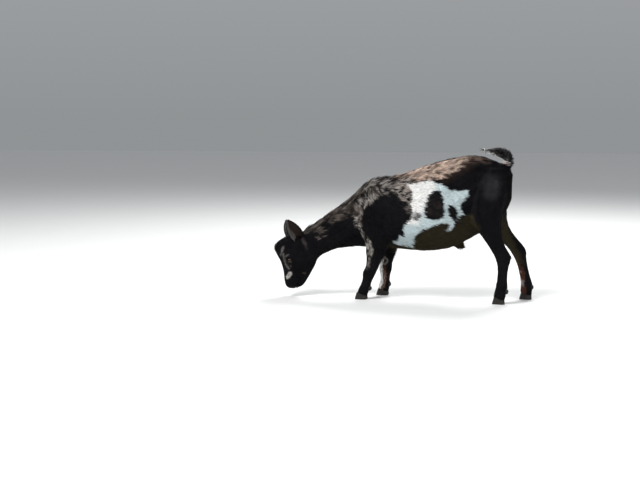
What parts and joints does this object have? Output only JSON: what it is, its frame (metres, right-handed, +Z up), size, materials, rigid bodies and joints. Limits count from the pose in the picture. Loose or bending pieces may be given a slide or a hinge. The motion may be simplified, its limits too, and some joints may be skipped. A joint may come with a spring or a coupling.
{
  "type": "goat",
  "caption": "Still life-size model of a young dwarf goat grazing: head down and turned a little, tail raised, black coat with a brown back and a ragged white patch on the flank.",
  "frame": {"origin": "on the floor, under the middle of the whole animal's bounding box", "axes": "+X from head to tail, so the head points to -X; +Y to the animal's right side; +Z up"},
  "size_m": [0.8318, 0.1976, 0.4841],
  "materials": {
    "coat_black": "short to medium rough hair, black",
    "coat_brown": "rough hair, dark brown back on black, with a white flank patch",
    "ear": "thin skin with short hair",
    "eye": "wet gloss, amber iris with a level slot pupil",
    "hoof": "dark horn, faintly ringed"
  },
  "bodies": {
    "root": {"trunk": "coat_brown", "neck": "coat_black", "head": "coat_black", "tail": "coat_black", "ear_left": "ear", "ear_right": "ear", "eye_left": "eye", "eye_right": "eye", "foreleg_left": "coat_black", "foreleg_right": "coat_black", "hindleg_left": "coat_black", "hindleg_right": "coat_black", "hoof_foreleg_left_inner": "hoof", "hoof_foreleg_left_outer": "hoof", "hoof_foreleg_right_inner": "hoof", "hoof_foreleg_right_outer": "hoof", "hoof_hindleg_left_inner": "hoof", "hoof_hindleg_left_outer": "hoof", "hoof_hindleg_right_inner": "hoof", "hoof_hindleg_right_outer": "hoof", "dewclaw_foreleg_left_inner": "hoof", "dewclaw_foreleg_left_outer": "hoof", "dewclaw_foreleg_right_inner": "hoof", "dewclaw_foreleg_right_outer": "hoof", "dewclaw_hindleg_left_inner": "hoof", "dewclaw_hindleg_left_outer": "hoof", "dewclaw_hindleg_right_inner": "hoof", "dewclaw_hindleg_right_outer": "hoof"}
  },
  "joints": []
}
